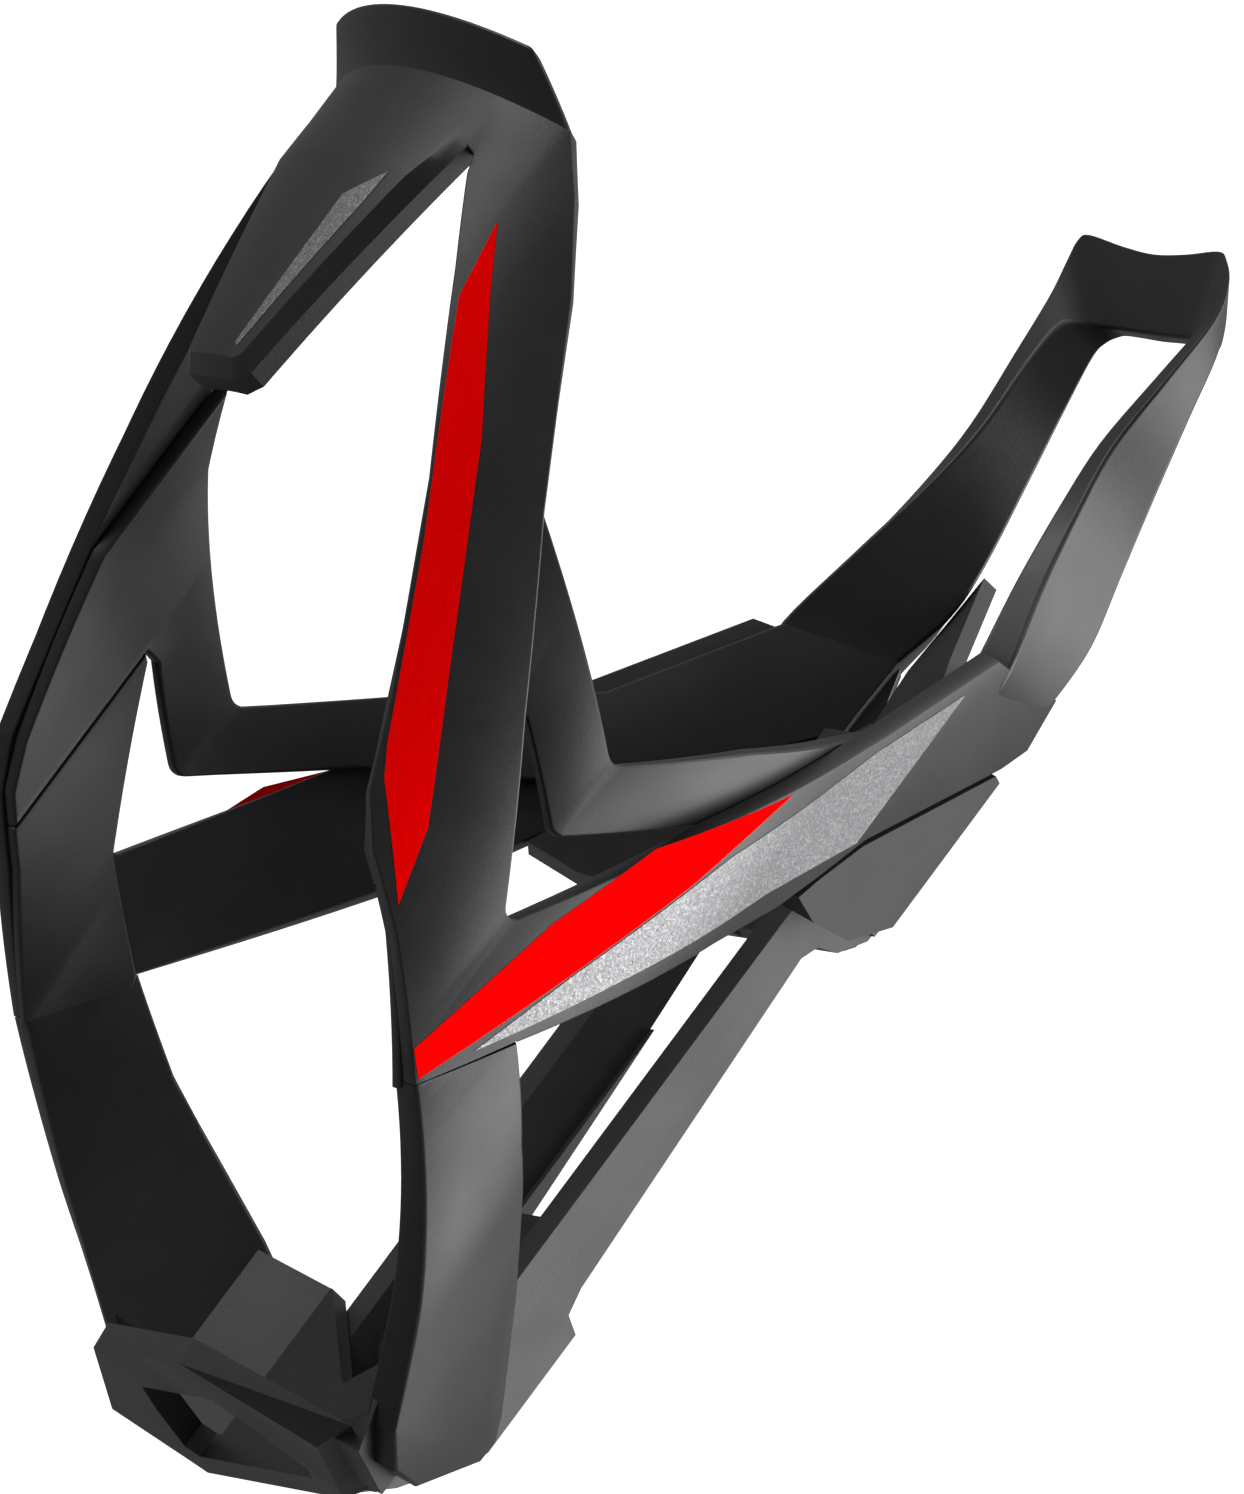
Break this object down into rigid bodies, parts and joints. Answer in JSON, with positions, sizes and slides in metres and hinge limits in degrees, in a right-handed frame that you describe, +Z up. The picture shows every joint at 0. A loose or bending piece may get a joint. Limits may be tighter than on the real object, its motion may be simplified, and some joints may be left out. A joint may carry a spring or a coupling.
{
  "type": "water bottle cage",
  "caption": "Bolt-on bicycle bottle cage: sprung side arms and a front tongue grip the bottle above a foot shelf, with a channel spine behind and a loop handle on top.",
  "frame": {"origin": "on the mounting plane of the two bolt bosses, halfway between the bolt holes", "axes": "+Z up along the bottle, +Y out of the back towards the frame tube, +X across the cage"},
  "size_m": [0.0816, 0.0958, 0.1474],
  "materials": {
    "satin_composite": "satin moulded carbon composite",
    "red_film": "satin printed film",
    "silver_film": "metallic flake printed film",
    "black_steel": "black oxide",
    "zinc_steel": "bright zinc plate",
    "black_rubber": "matt"
  },
  "bodies": {
    "root": {"spine": "satin_composite", "handle_loop": "satin_composite", "foot": "satin_composite", "left_arm": "satin_composite", "right_arm": "satin_composite", "left_strap": "satin_composite", "right_strap": "satin_composite", "left_leg": "satin_composite", "right_leg": "satin_composite", "front_lip": "satin_composite", "front_tongue": "satin_composite", "left_arm_flash": "red_film", "right_arm_flash": "red_film", "left_branch_flash": "red_film", "right_branch_flash": "red_film", "left_branch_sweep": "silver_film", "right_branch_sweep": "silver_film", "tongue_flash": "silver_film", "lower_bolt": "black_steel", "upper_bolt": "black_steel", "lower_washer": "zinc_steel", "upper_washer": "zinc_steel", "left_bumper": "black_rubber", "right_bumper": "black_rubber"}
  },
  "joints": []
}
